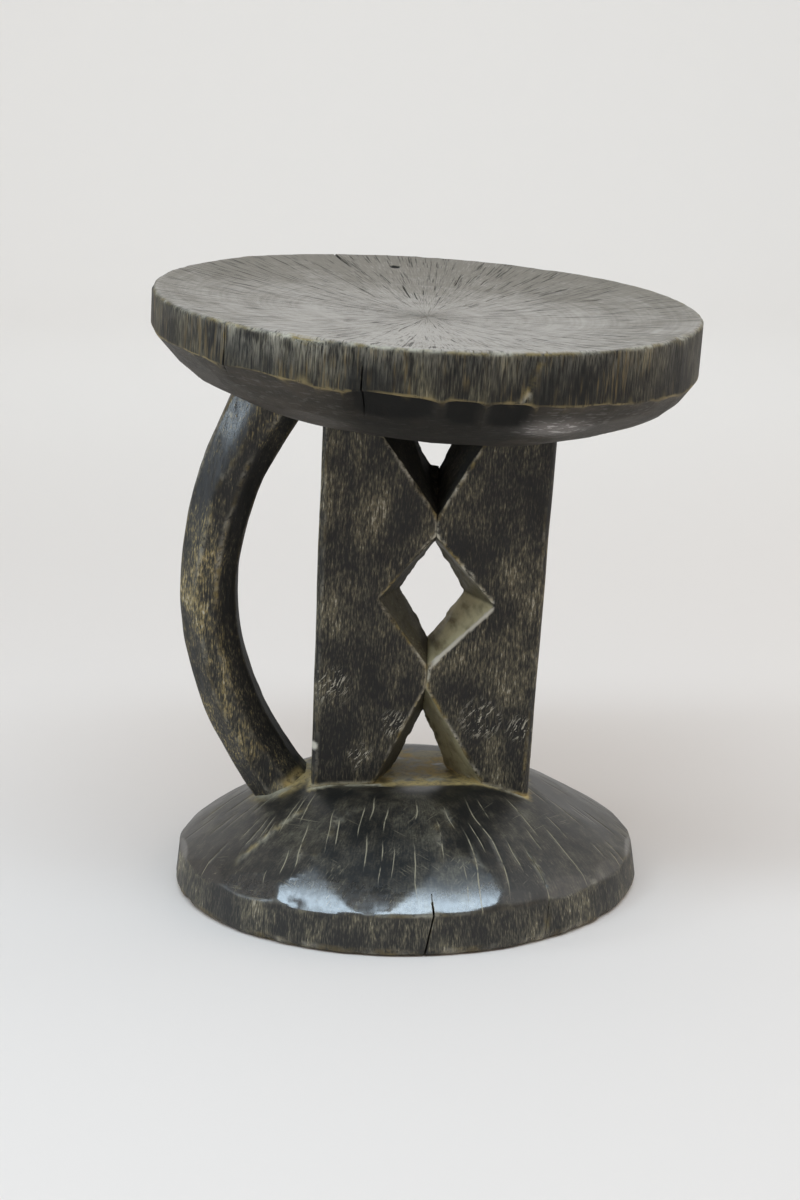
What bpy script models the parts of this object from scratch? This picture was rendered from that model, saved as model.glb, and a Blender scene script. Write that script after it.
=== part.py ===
"""Carved log stool: a dished round seat on a pierced pillar, with a bowed handle and a domed foot.

The pieces are the carver's own elements, parted where one carved form meets the next.
Metres, +Z up. The origin is the centre of the foot's underside, and the front faces -Y.
"""

import math
from collections import namedtuple

import bmesh
import bpy
from mathutils import Vector

# Parting gap between neighbouring pieces
JOINT_GAP = 0.0003

# The log's own axis, which leans away from the handle
AXIS_LEAN = math.radians(3.65)
AXIS_SHIFT = -0.0085  # where the axis meets the floor, measured from the foot's centre

# Foot: a band that narrows upwards, then a dome up to a flat that is longer across than deep
BASE_RADIUS = 0.1315
BASE_BAND_RADIUS = 0.129
BASE_BAND = 0.022
BASE_HEIGHT = 0.063
BASE_FLAT_LENGTH = 0.116
BASE_FLAT_DEPTH = 0.086
DOME_POWER_FRONT = 1.5  # 1 is a cone, 2 is an elliptical dome
DOME_POWER_SIDE = 1.1
DOME_POWER_BACK = 1.25
BASE_EDGE = 0.004

# Seat, measured from the plane of its rim
SEAT_RADIUS = 0.150
SEAT_HEIGHT = 0.3317  # floor to rim, along the log's axis
SEAT_TIP = math.radians(2.4)  # forward tip
SEAT_WALL = 0.025
SEAT_BOWL = 0.0405  # how far the underside drops below the wall
SEAT_BOTTOM_RADIUS = 0.050
SEAT_BOWL_POWER = 1.72
UNDERSIDE_LEAN = math.radians(1.9)  # the seat is thicker on the side away from the handle
DISH_DEPTH = 0.010
RIM_EDGE = 0.0025

# Pillar, measured from the line where its two uprights meet
PILLAR_SHIFT = 0.0124  # that line, measured from the log's axis
PILLAR_THICKNESS = 0.062
PILLAR_EDGE = 0.0025
LEFT_TOP_REACH = 0.066
LEFT_FOOT_REACH = 0.0605
RIGHT_TOP_REACH = 0.0615
RIGHT_FOOT_REACH = 0.0605

# Windows, wide at the pillar's two faces and narrowing to a throat half way through
WINDOW_HEIGHT = 0.169  # floor to the middle of the diamond, along the axis
DIAMOND_LEFT = 0.029
DIAMOND_RIGHT = 0.0345
DIAMOND_RISE = 0.037
NECK = 0.011  # from the diamond's tip to the notch beyond it
UPPER_MOUTH_LEFT = 0.0385
UPPER_MOUTH_RIGHT = 0.0275
LOWER_MOUTH_LEFT = 0.026
LOWER_MOUTH_RIGHT = 0.0385
THROAT_REACH = 0.0177
THROAT_RISE = 0.0286
THROAT_NECK = 0.041
UPPER_THROAT_LEFT = 0.0205
UPPER_THROAT_RIGHT = 0.0105
LOWER_THROAT = 0.016
BLUNT_LEFT = 0.0055  # the upper cut ends blunt at its throat, to the left of the meeting line
BLUNT_RIGHT = 0.0008
BLUNT_FACE = 0.0004

# Handle, measured from the log's axis to the middle of the grip
HANDLE_HEAD_REACH = 0.062  # at the seat's wall, inside the bowl
HANDLE_BELLY_REACH = 0.1115
HANDLE_FOOT_REACH = 0.037  # at the foot's band, inside the dome
HANDLE_BELLY_HEIGHT = 0.155
HANDLE_HEAD_WIDTH = 0.042
HANDLE_BELLY_WIDTH = 0.031
HANDLE_FOOT_WIDTH = 0.034
HANDLE_HEAD_DEPTH = 0.056
HANDLE_BELLY_DEPTH = 0.042
HANDLE_FOOT_DEPTH = 0.038
HANDLE_CHAMFER = 0.0105

# Facet counts
ROUND_STEPS = 72
CURVE_STEPS = 9
EDGE_STEPS = 3
HANDLE_STEPS = 20
SHARP_ANGLE = math.radians(30)  # edges that turn more than this stay sharp


# Distances of an upright's inner edge from the meeting line, at one depth of the pillar
Zigzag = namedtuple("Zigzag", "lower_mouth upper_mouth diamond rise neck blunt")


def clear_scene():
    for old in list(bpy.data.objects):
        bpy.data.objects.remove(old, do_unlink=True)


def wood(name, colour, roughness):
    """A plain wood finish in the given colour."""
    material = bpy.data.materials.new(name)
    material.use_nodes = True
    shader = material.node_tree.nodes["Principled BSDF"]
    shader.inputs["Base Color"].default_value = (*colour, 1.0)
    shader.inputs["Roughness"].default_value = roughness
    shader.inputs["Metallic"].default_value = 0.0
    return material


def add_empty(name, parent=None, location=(0.0, 0.0, 0.0), rotation=(0.0, 0.0, 0.0)):
    empty = bpy.data.objects.new(name, None)
    empty.location = location
    empty.rotation_euler = rotation
    empty.parent = parent
    bpy.context.scene.collection.objects.link(empty)
    return empty


def add_mesh(name, bm, parent=None, location=(0.0, 0.0, 0.0)):
    """Turns the bmesh into an object, shaded smooth with its carved edges kept sharp."""
    mesh = bpy.data.meshes.new(name)
    bm.to_mesh(mesh)
    bm.free()
    mesh.shade_smooth()
    mesh.set_sharp_from_angle(angle=SHARP_ANGLE)
    piece = bpy.data.objects.new(name, mesh)
    piece.location = location
    piece.parent = parent
    bpy.context.scene.collection.objects.link(piece)
    return piece


def as_cutter(piece):
    piece.hide_render = True
    piece.display_type = "WIRE"
    return piece


def cut(piece, cutter):
    modifier = piece.modifiers.new("cut_by_" + cutter.name, "BOOLEAN")
    modifier.operation = "DIFFERENCE"
    modifier.solver = "EXACT"
    modifier.object = cutter


def loft(rings):
    """A closed solid through rings of equal length, with a flat face on the first and the last."""
    bm = bmesh.new()
    loops = [[bm.verts.new(point) for point in ring] for ring in rings]
    for lower, upper in zip(loops, loops[1:]):
        for i in range(len(lower)):
            j = (i + 1) % len(lower)
            bm.faces.new((lower[i], lower[j], upper[j], upper[i]))
    bm.faces.new(reversed(loops[0]))
    bm.faces.new(loops[-1])
    bmesh.ops.recalc_face_normals(bm, faces=bm.faces)
    return bm


def swell(step, power):
    """Shares (across, up) of a superelliptic quarter, from (1, 0) to (0, 1)."""
    angle = step / CURVE_STEPS * math.pi / 2
    across = max(0.0, math.cos(angle)) ** (2 / power)
    up = math.sin(angle) ** (2 / power)
    return across, up


def seat_ring(radius, height, lean):
    """A round of the seat at this height from the rim's plane, with its own sideways lean."""
    ring = []
    for step in range(ROUND_STEPS):
        angle = math.tau * step / ROUND_STEPS
        across = radius * math.cos(angle)
        ring.append(Vector((across, radius * math.sin(angle), height - math.tan(lean) * across)))
    return ring


def seat_underside(grow):
    """Rings of the bowl under the seat, from its flat bottom up to the wall's lower edge."""
    rings = []
    for step in range(CURVE_STEPS + 1):
        up, across = swell(step, SEAT_BOWL_POWER)
        radius = SEAT_BOTTOM_RADIUS + (SEAT_RADIUS - SEAT_BOTTOM_RADIUS) * across + grow
        rings.append(seat_ring(radius, -SEAT_WALL - (SEAT_BOWL + grow) * up, UNDERSIDE_LEAN))
    return rings


def make_seat(seat_plane):
    inside = SEAT_RADIUS - RIM_EDGE
    rings = seat_underside(0.0)
    for step in range(EDGE_STEPS + 1):
        angle = math.pi / 2 * step / EDGE_STEPS
        radius = inside + RIM_EDGE * math.cos(angle)
        rings.append(seat_ring(radius, RIM_EDGE * (math.sin(angle) - 1), 0.0))
    for step in range(1, CURVE_STEPS):
        share = 1 - step / CURVE_STEPS
        rings.append(seat_ring(inside * share, -DISH_DEPTH * (1 - share**2), 0.0))
    return add_mesh("seat", loft(rings), seat_plane)


def make_seat_cutter(seat_plane):
    """The seat's outer form, larger by the parting gap."""
    rings = seat_underside(JOINT_GAP)
    rings.append(seat_ring(SEAT_RADIUS + JOINT_GAP, JOINT_GAP, 0.0))
    return as_cutter(add_mesh("seat_cutter", loft(rings), seat_plane))


def base_ring(radius, height):
    """A level round of the foot's band."""
    angles = [math.tau * step / ROUND_STEPS for step in range(ROUND_STEPS)]
    return [Vector((radius * math.cos(angle), radius * math.sin(angle), height)) for angle in angles]


def dome_power(angle):
    """How full the dome is in this direction."""
    turned = math.sin(angle)
    full = DOME_POWER_FRONT if turned < 0 else DOME_POWER_BACK
    return DOME_POWER_SIDE + (full - DOME_POWER_SIDE) * turned**2


def dome_ring(curve_step, grow):
    """A ring of the dome, part way from the band's round to the oblong of the flat."""
    ring = []
    for step in range(ROUND_STEPS):
        angle = math.tau * step / ROUND_STEPS
        across, up = swell(curve_step, dome_power(angle))
        flat_across = math.cos(angle) / (BASE_FLAT_LENGTH / 2)
        flat_deep = math.sin(angle) / (BASE_FLAT_DEPTH / 2)
        flat_radius = 1 / math.hypot(flat_across, flat_deep)
        radius = BASE_BAND_RADIUS + grow + (flat_radius - BASE_BAND_RADIUS) * (1 - across)
        height = BASE_BAND + (BASE_HEIGHT + grow - BASE_BAND) * up
        ring.append(Vector((radius * math.cos(angle), radius * math.sin(angle), height)))
    return ring


def base_form(grow):
    """Rings of the foot from its underside up to the flat."""
    rings = []
    for step in range(EDGE_STEPS + 1):
        angle = math.pi / 2 * step / EDGE_STEPS
        radius = BASE_RADIUS - BASE_EDGE * (1 - math.sin(angle))
        rings.append(base_ring(radius + grow, BASE_EDGE * (1 - math.cos(angle))))
    for step in range(CURVE_STEPS + 1):
        rings.append(dome_ring(step, grow))
    return loft(rings)


def upright_outline(side, depth, inset, top_reach, foot_reach, zigzag):
    """One section of an upright: down its straight outer edge and back up its zigzag inner edge."""
    joint_top = SEAT_HEIGHT - SEAT_WALL - SEAT_BOWL
    top = SEAT_HEIGHT - SEAT_WALL
    slope = (top_reach - foot_reach) / (joint_top - BASE_HEIGHT)
    outline = [
        (top_reach + slope * (top - joint_top) - inset, top),
        (foot_reach - slope * (BASE_HEIGHT - BASE_BAND) - inset, BASE_BAND),
    ]
    tip = zigzag.rise + zigzag.neck
    outline += [
        (zigzag.lower_mouth, BASE_BAND),
        (zigzag.lower_mouth, BASE_HEIGHT),
        (0.0, WINDOW_HEIGHT - tip),
        (0.0, WINDOW_HEIGHT - zigzag.rise),
        (zigzag.diamond, WINDOW_HEIGHT),
        (0.0, WINDOW_HEIGHT + zigzag.rise),
        (0.0, WINDOW_HEIGHT + tip),
        (zigzag.blunt, WINDOW_HEIGHT + tip),
        (zigzag.upper_mouth, joint_top),
        (zigzag.upper_mouth, top),
    ]
    return [Vector((side * (x + JOINT_GAP / 2), depth, z)) for x, z in outline]


def make_upright(name, side, top_reach, foot_reach, face, throat, log_axis):
    """A board whose zigzag edge is cut in from both faces and meets at a throat half way through."""
    half = PILLAR_THICKNESS / 2
    shoulder = PILLAR_EDGE / half
    near_face = Zigzag(*(f + (t - f) * shoulder for f, t in zip(face, throat)))
    sections = [
        (-half, PILLAR_EDGE, face),
        (-half + PILLAR_EDGE, 0.0, near_face),
        (0.0, 0.0, throat),
        (half - PILLAR_EDGE, 0.0, near_face),
        (half, PILLAR_EDGE, face),
    ]
    rings = [
        upright_outline(side, depth, inset, top_reach, foot_reach, zigzag)
        for depth, inset, zigzag in sections
    ]
    return add_mesh(name, loft(rings), log_axis, (PILLAR_SHIFT, 0.0, 0.0))


def make_pillar_cutter(log_axis):
    """The left upright's outer face, moved out by the parting gap, as one leaning slab."""
    plain = Zigzag(0.0, 0.0, 0.0, 0.0, 0.0, 0.0)
    half = PILLAR_THICKNESS / 2 + JOINT_GAP
    rings = [
        upright_outline(-1, depth, -JOINT_GAP, LEFT_TOP_REACH, LEFT_FOOT_REACH, plain)
        for depth in (-half, half)
    ]
    slab = loft([[ring[i] for i in (0, 1, 2, -1)] for ring in rings])
    return as_cutter(add_mesh("pillar_cutter", slab, log_axis, (PILLAR_SHIFT, 0.0, 0.0)))


def along_bow(foot, belly, head, share):
    """The smooth run of a value from foot to head that passes the belly half way."""
    return (
        foot * (1 - share) * (1 - 2 * share)
        + belly * 4 * share * (1 - share)
        + head * share * (2 * share - 1)
    )


def handle_point(share):
    foot = Vector((-HANDLE_FOOT_REACH, 0.0, BASE_BAND))
    belly = Vector((-HANDLE_BELLY_REACH, 0.0, HANDLE_BELLY_HEIGHT))
    head = Vector((-HANDLE_HEAD_REACH, 0.0, SEAT_HEIGHT - SEAT_WALL))
    return along_bow(foot, belly, head, share)


def handle_ring(step):
    """Eight-sided section, square to the bow."""
    share = step / HANDLE_STEPS
    middle = handle_point(share)
    along = (handle_point(share + 1 / HANDLE_STEPS) - handle_point(share - 1 / HANDLE_STEPS)).normalized()
    outward = Vector((-along.z, 0.0, along.x))
    width = along_bow(HANDLE_FOOT_WIDTH, HANDLE_BELLY_WIDTH, HANDLE_HEAD_WIDTH, share) / 2
    depth = along_bow(HANDLE_FOOT_DEPTH, HANDLE_BELLY_DEPTH, HANDLE_HEAD_DEPTH, share) / 2
    flat_width = width - HANDLE_CHAMFER
    flat_depth = depth - HANDLE_CHAMFER
    corners = [
        (width, flat_depth),
        (flat_width, depth),
        (-flat_width, depth),
        (-width, flat_depth),
        (-width, -flat_depth),
        (-flat_width, -depth),
        (flat_width, -depth),
        (width, -flat_depth),
    ]
    return [middle + outward * across + Vector((0.0, deep, 0.0)) for across, deep in corners]


def make_handle(log_axis):
    rings = [handle_ring(step) for step in range(HANDLE_STEPS + 1)]
    return add_mesh("handle", loft(rings), log_axis)


def main():
    clear_scene()
    log_axis = add_empty("log_axis", None, (AXIS_SHIFT, 0.0, 0.0), (0.0, AXIS_LEAN, 0.0))
    seat_plane = add_empty("seat_plane", log_axis, (0.0, 0.0, SEAT_HEIGHT), (SEAT_TIP, 0.0, 0.0))

    seat = make_seat(seat_plane)
    base = add_mesh("base", base_form(0.0))
    left_face = Zigzag(
        LOWER_MOUTH_LEFT, UPPER_MOUTH_LEFT, DIAMOND_LEFT, DIAMOND_RISE, NECK, BLUNT_FACE
    )
    left_throat = Zigzag(
        LOWER_THROAT, UPPER_THROAT_LEFT, THROAT_REACH, THROAT_RISE, THROAT_NECK, BLUNT_LEFT
    )
    left = make_upright(
        "left_upright", -1, LEFT_TOP_REACH, LEFT_FOOT_REACH, left_face, left_throat, log_axis
    )
    right_face = Zigzag(
        LOWER_MOUTH_RIGHT, UPPER_MOUTH_RIGHT, DIAMOND_RIGHT, DIAMOND_RISE, NECK, BLUNT_FACE
    )
    right_throat = Zigzag(
        LOWER_THROAT, UPPER_THROAT_RIGHT, THROAT_REACH, THROAT_RISE, THROAT_NECK, BLUNT_RIGHT
    )
    right = make_upright(
        "right_upright", 1, RIGHT_TOP_REACH, RIGHT_FOOT_REACH, right_face, right_throat, log_axis
    )
    handle = make_handle(log_axis)

    seat_cutter = make_seat_cutter(seat_plane)
    base_cutter = as_cutter(add_mesh("base_cutter", base_form(JOINT_GAP)))
    pillar_cutter = make_pillar_cutter(log_axis)
    for piece in (left, right, handle):
        cut(piece, seat_cutter)
        cut(piece, base_cutter)
    cut(handle, pillar_cutter)

    finishes = (
        (seat, (0.115, 0.098, 0.080), 0.50),
        (left, (0.038, 0.032, 0.025), 0.45),
        (right, (0.036, 0.031, 0.025), 0.45),
        (handle, (0.042, 0.035, 0.026), 0.42),
        (base, (0.050, 0.042, 0.032), 0.45),
    )
    for piece, colour, roughness in finishes:
        piece.data.materials.append(wood(piece.name + "_wood", colour, roughness))


main()
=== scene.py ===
"""Looks of the carved log stool: sculpted wood and its finishes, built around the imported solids.

Every visible piece stands for one solid and keeps its place. Metres, +Z up, front towards -Y.
"""

import math
from collections import namedtuple

import bpy
import numpy as np
from mathutils import Matrix, Vector


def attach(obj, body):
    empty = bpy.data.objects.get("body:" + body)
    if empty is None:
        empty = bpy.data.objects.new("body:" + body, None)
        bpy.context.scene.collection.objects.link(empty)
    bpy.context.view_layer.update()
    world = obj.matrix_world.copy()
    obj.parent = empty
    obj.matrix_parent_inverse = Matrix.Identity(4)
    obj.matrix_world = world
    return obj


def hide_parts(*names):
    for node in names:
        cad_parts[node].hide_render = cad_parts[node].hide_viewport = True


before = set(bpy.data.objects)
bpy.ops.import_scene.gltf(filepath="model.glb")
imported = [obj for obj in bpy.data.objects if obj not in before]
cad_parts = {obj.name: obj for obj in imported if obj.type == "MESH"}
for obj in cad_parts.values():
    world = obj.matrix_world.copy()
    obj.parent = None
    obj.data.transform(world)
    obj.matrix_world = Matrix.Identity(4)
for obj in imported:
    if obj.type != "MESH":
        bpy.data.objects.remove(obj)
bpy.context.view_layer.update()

# The log's axis and the seat's plane, as in the solids
AXIS_LEAN = math.radians(3.65)
AXIS_SHIFT = -0.0085
SEAT_HEIGHT = 0.3317
SEAT_TIP = math.radians(2.4)
LOG_FRAME = Matrix.Translation((AXIS_SHIFT, 0, 0)) @ Matrix.Rotation(AXIS_LEAN, 4, "Y")
SEAT_FRAME = LOG_FRAME @ Matrix.Translation((0, 0, SEAT_HEIGHT)) @ Matrix.Rotation(SEAT_TIP, 4, "X")

# Seat
SEAT_RADIUS = 0.150
SEAT_WALL = 0.025
SEAT_BOWL = 0.0405
SEAT_BOTTOM_RADIUS = 0.050
SEAT_BOWL_POWER = 1.72
UNDERSIDE_LEAN = math.radians(1.9)
DISH_DEPTH = 0.010
RIM_EDGE = 0.0025

# Foot
BASE_RADIUS = 0.1315
BASE_BAND_RADIUS = 0.129
BASE_BAND = 0.022
BASE_HEIGHT = 0.063
BASE_FLAT_LENGTH = 0.116
BASE_FLAT_DEPTH = 0.086
BASE_EDGE = 0.004
DOME_POWER_FRONT = 1.5
DOME_POWER_SIDE = 1.1
DOME_POWER_BACK = 1.25
FOOT_PITH = np.array((0.004, 0.035))

# Pillar and handle
PILLAR_SHIFT = 0.0124
PILLAR_THICKNESS = 0.062
WINDOW_HEIGHT = 0.169
LEFT_FOOT_REACH = 0.0605
HANDLE_HEAD_REACH = 0.062
HANDLE_BELLY_REACH = 0.1115
HANDLE_FOOT_REACH = 0.037
HANDLE_BELLY_HEIGHT = 0.155
HANDLE_HEAD_WIDTH = 0.042
HANDLE_BELLY_WIDTH = 0.031
HANDLE_FOOT_WIDTH = 0.034
HANDLE_HEAD_DEPTH = 0.056
HANDLE_BELLY_DEPTH = 0.042
HANDLE_FOOT_DEPTH = 0.038
HANDLE_CHAMFER = 0.0105

MM = 0.001
TAU = math.tau


# Numbers on arrays


def ease(low, high, value):
    """0 below low, 1 above high, and a smooth rise between."""
    share = np.clip((value - low) / (high - low), 0, 1)
    return share * share * (3 - 2 * share)


def unit(vectors):
    return vectors / np.maximum(np.linalg.norm(vectors, axis=-1, keepdims=True), 1e-12)


def lattice_noise(points, seed):
    """Smooth noise from -1 to 1 with one lattice cell per unit, at an array of points."""
    flat = points.reshape(-1, 3)
    cell = np.floor(flat).astype(np.int64)
    part = flat - cell
    fade = part**3 * (part * (part * 6 - 15) + 10)
    total = np.zeros(len(flat))
    for corner in np.ndindex(2, 2, 2):
        key = (cell + corner) @ np.array((73856093, 19349663, 83492791)) + seed * 974711
        key = ((key ^ (key >> 15)) * 2246822519) & 0xFFFFFFFF
        key = ((key ^ (key >> 13)) * 3266489917) & 0xFFFFFFFF
        value = (key ^ (key >> 16)) / 0x7FFFFFFF - 1
        total += value * np.where(corner, fade, 1 - fade).prod(axis=1)
    return total.reshape(points.shape[:-1])


def fractal(points, seed, octaves=3):
    return sum(lattice_noise(points * 2.0**k, seed + k) / 2**k for k in range(octaves))


# Grids of rings and spokes

# A drying check: its direction, the dashes that it runs in, its half width and its depth
Check = namedtuple("Check", "angle dashes width depth")
Spokes = namedtuple("Spokes", "angle place check")
DEEP_CHECK = 1.2 * MM


def lay_spokes(count, checks):
    """Even spokes, with close ones along each check so that its groove is real geometry."""
    step = TAU / count
    near = np.array([check.angle for check in checks])
    rows = []
    for angle in np.arange(count) * step:
        away = np.abs((angle - near + math.pi) % TAU - math.pi)
        if away.min() > 0.7 * step:
            rows.append((angle, 0.0, -1))
    for number, check in enumerate(checks):
        places = (-1.8, -1, -0.45, 0, 0.45, 1, 1.8) if check.depth > DEEP_CHECK else (-1, 0, 1)
        rows += [(check.angle % TAU, place, number) for place in places]
    rows.sort()
    angle, place, check = np.array(rows).T
    return Spokes(angle, place, check.astype(int))


def open_checks(spokes, checks, run, seed):
    share = np.zeros(run.shape)
    depth = np.zeros(run.shape)
    for number, check in enumerate(checks):
        columns = np.flatnonzero(spokes.check == number)
        along = run[:, columns]
        window = np.zeros(along.shape)
        for start, end in check.dashes:
            fade = 0.3 * (end - start)
            window += ease(start, start + fade, along) - ease(end - fade, end, along)
        marks = np.stack([along * 160, np.full_like(along, number), np.zeros_like(along)], axis=-1)
        ragged = 0.85 + 0.3 * lattice_noise(marks, seed)
        groove = np.maximum(0, 1 - np.abs(spokes.place[columns]) ** 1.5)
        share[:, columns] = np.minimum(window, 1) * ragged * groove
        depth[:, columns] = check.depth * share[:, columns]
    return share, depth


def spoke_angles(spokes, checks, radius, limit):
    """Angle of every grid point: the spoke's own, plus its offset across a check of even width."""
    width = np.array([check.width for check in checks] + [0.0])[spokes.check]
    return spokes.angle + spokes.place * np.minimum(width / radius, limit)


def grid_normals(grid):
    along = np.gradient(grid, axis=0)
    around = np.roll(grid, -1, axis=1) - np.roll(grid, 1, axis=1)
    return unit(np.cross(along, around))


def shave(grid, point, normal, rounding=0.0):
    """Cuts everything beyond a plane back to it, and tells how much went. It may round off above the point."""
    upward = unit(np.array((0, 0, 1.0)) - normal[2] * normal)
    above = np.maximum(0, (grid - point) @ upward)
    over = np.maximum(0, (grid - point) @ normal + rounding * above**2)
    return grid - over[..., None] * normal, over


def grid_mesh(name, grid):
    """A closed mesh through the rings, with a fan to a middle point at each end."""
    rings, count, _ = grid.shape
    ring = np.arange(rings - 1)[:, None] * count
    here = np.arange(count)
    after = (here + 1) % count
    quads = np.stack(
        [ring + here, ring + count + here, ring + count + after, ring + after], axis=-1
    ).reshape(-1, 4)
    first, last = rings * count, rings * count + 1
    start = [(first, int(a), int(b)) for a, b in zip(here, after)]
    offset = (rings - 1) * count
    end = [(last, int(offset + b), int(offset + a)) for a, b in zip(here, after)]
    points = np.concatenate([grid.reshape(-1, 3), [grid[0].mean(axis=0)], [grid[-1].mean(axis=0)]])
    mesh = bpy.data.meshes.new(name)
    mesh.from_pydata(points.tolist(), [], quads.tolist() + start + end)
    mesh.update()
    return mesh


def with_poles(values):
    """Grid values as one list, with those of the two middle points at its end."""
    return np.concatenate([values.ravel(), [values[0].mean(), values[-1].mean()]])


# Meshes


def add_piece(name, mesh, place):
    piece = bpy.data.objects.new(name, mesh)
    piece.matrix_world = place
    bpy.context.scene.collection.objects.link(piece)
    return piece


def mesh_points(mesh):
    points = np.empty(len(mesh.vertices) * 3)
    mesh.vertices.foreach_get("co", points)
    return points.reshape(-1, 3)


def set_points(mesh, points):
    mesh.vertices.foreach_set("co", points.ravel())
    mesh.update()


def mesh_normals(mesh):
    normals = np.empty(len(mesh.vertices) * 3)
    mesh.vertex_normals.foreach_get("vector", normals)
    return normals.reshape(-1, 3)


def relaxed(mesh, points, passes):
    """The points after a few passes of averaging each with its neighbours."""
    pairs = np.empty(len(mesh.edges) * 2, dtype=np.int32)
    mesh.edges.foreach_get("vertices", pairs)
    first, second = pairs.reshape(-1, 2).T
    count = np.bincount(first, minlength=len(points)) + np.bincount(second, minlength=len(points))
    for _ in range(passes):
        total = np.empty_like(points)
        for axis in range(points.shape[1]):
            column = points[:, axis]
            total[:, axis] = np.bincount(first, column[second], len(points))
            total[:, axis] += np.bincount(second, column[first], len(points))
        points = (points + total / count[:, None]) / 2
    return points


def bulge(mesh, passes):
    """How far each point stands proud of its smoothed surroundings, in metres."""
    points = mesh_points(mesh)
    return ((points - relaxed(mesh, points, passes)) * mesh_normals(mesh)).sum(axis=1)


def set_mask(mesh, name, values):
    layer = mesh.attributes.new(name, "FLOAT", "POINT")
    layer.data.foreach_set("value", np.clip(values, 0, 1).astype(np.float32))


def dress(piece, node, material, crease):
    """Shades a finished piece and puts it in the place of its solid."""
    piece.data.shade_smooth()
    piece.data.set_sharp_from_angle(angle=math.radians(crease))
    piece.data.materials.clear()
    piece.data.materials.append(material)
    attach(piece, "root")
    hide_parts(node)


# Seat

SEAT_SPOKES = 290
SEAT_CHECKS = 86
# A nick in the rear of the dish
NICK = Vector((-0.0187, 0.1235, 0))
DISH_RINGS = 78
CHAMFER_STROKES = 46
BOWL_STROKES = 64
# Cracks that can be told apart: two splits down the wall, a notch in the rear rim, one by the nick
SEAT_MARKED = [
    Check(math.radians(-133.6), [(0.151, 0.182)], 0.42 * MM, 1.6 * MM),
    Check(math.radians(-102.7), [(0.157, 0.196)], 0.45 * MM, 1.8 * MM),
    Check(math.radians(111.8), [(0.118, 0.156)], 0.70 * MM, 2.5 * MM),
    Check(math.radians(100.6), [(0.048, 0.086)], 0.65 * MM, 2.2 * MM),
]
# Adze scoops under the wall's front edge: direction, half angle and depth
SCOOPS = [
    (math.radians(-96.6), math.radians(9.9), 3.4 * MM),
    (math.radians(-82.8), math.radians(4.2), 3.2 * MM),
    (math.radians(-73.6), math.radians(5.2), 3.0 * MM),
]
# The thin ridges between the scoops, as checks that stay shut, for their close spokes
SCOOP_RIDGES = [Check(math.radians(angle), [], 1.2 * MM, 0.0) for angle in (-106.5, -86.8, -78.7, -68.4)]


def scatter_checks(rng, count, marked, near, far, longest, width, depth):
    """Checks at uneven distances all round, each in two dashes, keeping clear of the marked ones."""
    found = list(marked)
    for number in range(count):
        angle = TAU * (number + rng.uniform(-0.32, 0.32)) / count
        first = rng.uniform(near, near + 0.6 * (far - near))
        first_end = first + longest * rng.uniform(0.25, 1)
        second = first_end + rng.uniform(0.2, 0.8) * (far - near)
        second_end = min(second + longest * rng.uniform(0.2, 0.8), far + 0.2 * longest)
        dashes = [(first, first_end)] + [(second, second_end)] * (second_end - second > 0.2 * longest)
        check = Check(angle, dashes, rng.uniform(*width), rng.uniform(*depth))
        apart = min(abs((angle - other.angle + math.pi) % TAU - math.pi) for other in found)
        if apart > math.radians(1.8):
            found.append(check)
    return found


def seat_profile():
    """Radius, height and sideways lean of each ring, from the middle of the dish round to the bottom."""
    inside = SEAT_RADIUS - RIM_EDGE
    share = np.linspace(0.012, 1, DISH_RINGS)
    radius = [inside * share]
    height = [-DISH_DEPTH * (1 - share**2)]
    turn = np.linspace(0, math.pi / 2, 6)[1:]
    radius.append(inside + RIM_EDGE * np.sin(turn))
    height.append(RIM_EDGE * (np.cos(turn) - 1))
    drop = np.concatenate([np.linspace(-RIM_EDGE, -0.019, 12)[1:], np.linspace(-0.019, -SEAT_WALL, 13)[1:]])
    radius.append(np.full(len(drop), SEAT_RADIUS))
    height.append(drop)
    turn = np.linspace(0, math.pi / 2, 58)[1:]
    across = np.cos(turn) ** (2 / SEAT_BOWL_POWER)
    radius.append(SEAT_BOTTOM_RADIUS + (SEAT_RADIUS - SEAT_BOTTOM_RADIUS) * across)
    height.append(-SEAT_WALL - SEAT_BOWL * np.sin(turn) ** (2 / SEAT_BOWL_POWER))
    radius.append(SEAT_BOTTOM_RADIUS * np.linspace(0.8, 0.1, 5))
    height.append(np.full(5, -SEAT_WALL - SEAT_BOWL))
    radius, height = np.concatenate(radius), np.concatenate(height)
    lean = np.tan(UNDERSIDE_LEAN) * ease(-RIM_EDGE, -SEAT_WALL, height) ** 0.5
    lean[: len(share) + 5] = 0
    return radius, height, lean


def carve_bowl(rng, grid):
    """Adze strokes: short flats that break the wall's lower edge, and wide ones over the bowl."""
    for number in range(CHAMFER_STROKES):
        facing = TAU * (number + rng.uniform(-0.3, 0.3)) / CHAMFER_STROKES
        level = np.array((math.cos(facing), math.sin(facing), 0.0))
        rise = math.radians(rng.uniform(33, 38) + 8 * max(0, -level[0]) ** 3)
        drop = SEAT_WALL + math.tan(UNDERSIDE_LEAN) * SEAT_RADIUS * level[0] + rng.uniform(-0.8, 1.2) * MM
        normal = level * math.cos(rise) - np.array((0, 0, math.sin(rise)))
        grid, _over = shave(grid, level * SEAT_RADIUS - np.array((0, 0, drop)), normal)
    for _ in range(BOWL_STROKES):
        facing, rise = rng.uniform(0, TAU), math.radians(rng.uniform(44, 80))
        level = np.array((math.cos(facing), math.sin(facing), 0.0))
        normal = level * math.cos(rise) - np.array((0, 0, math.sin(rise)))
        reach = (grid @ normal).max() - rng.uniform(0.4, 1.2) * MM
        grid, _over = shave(grid, reach * normal, normal)
    return grid


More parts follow.
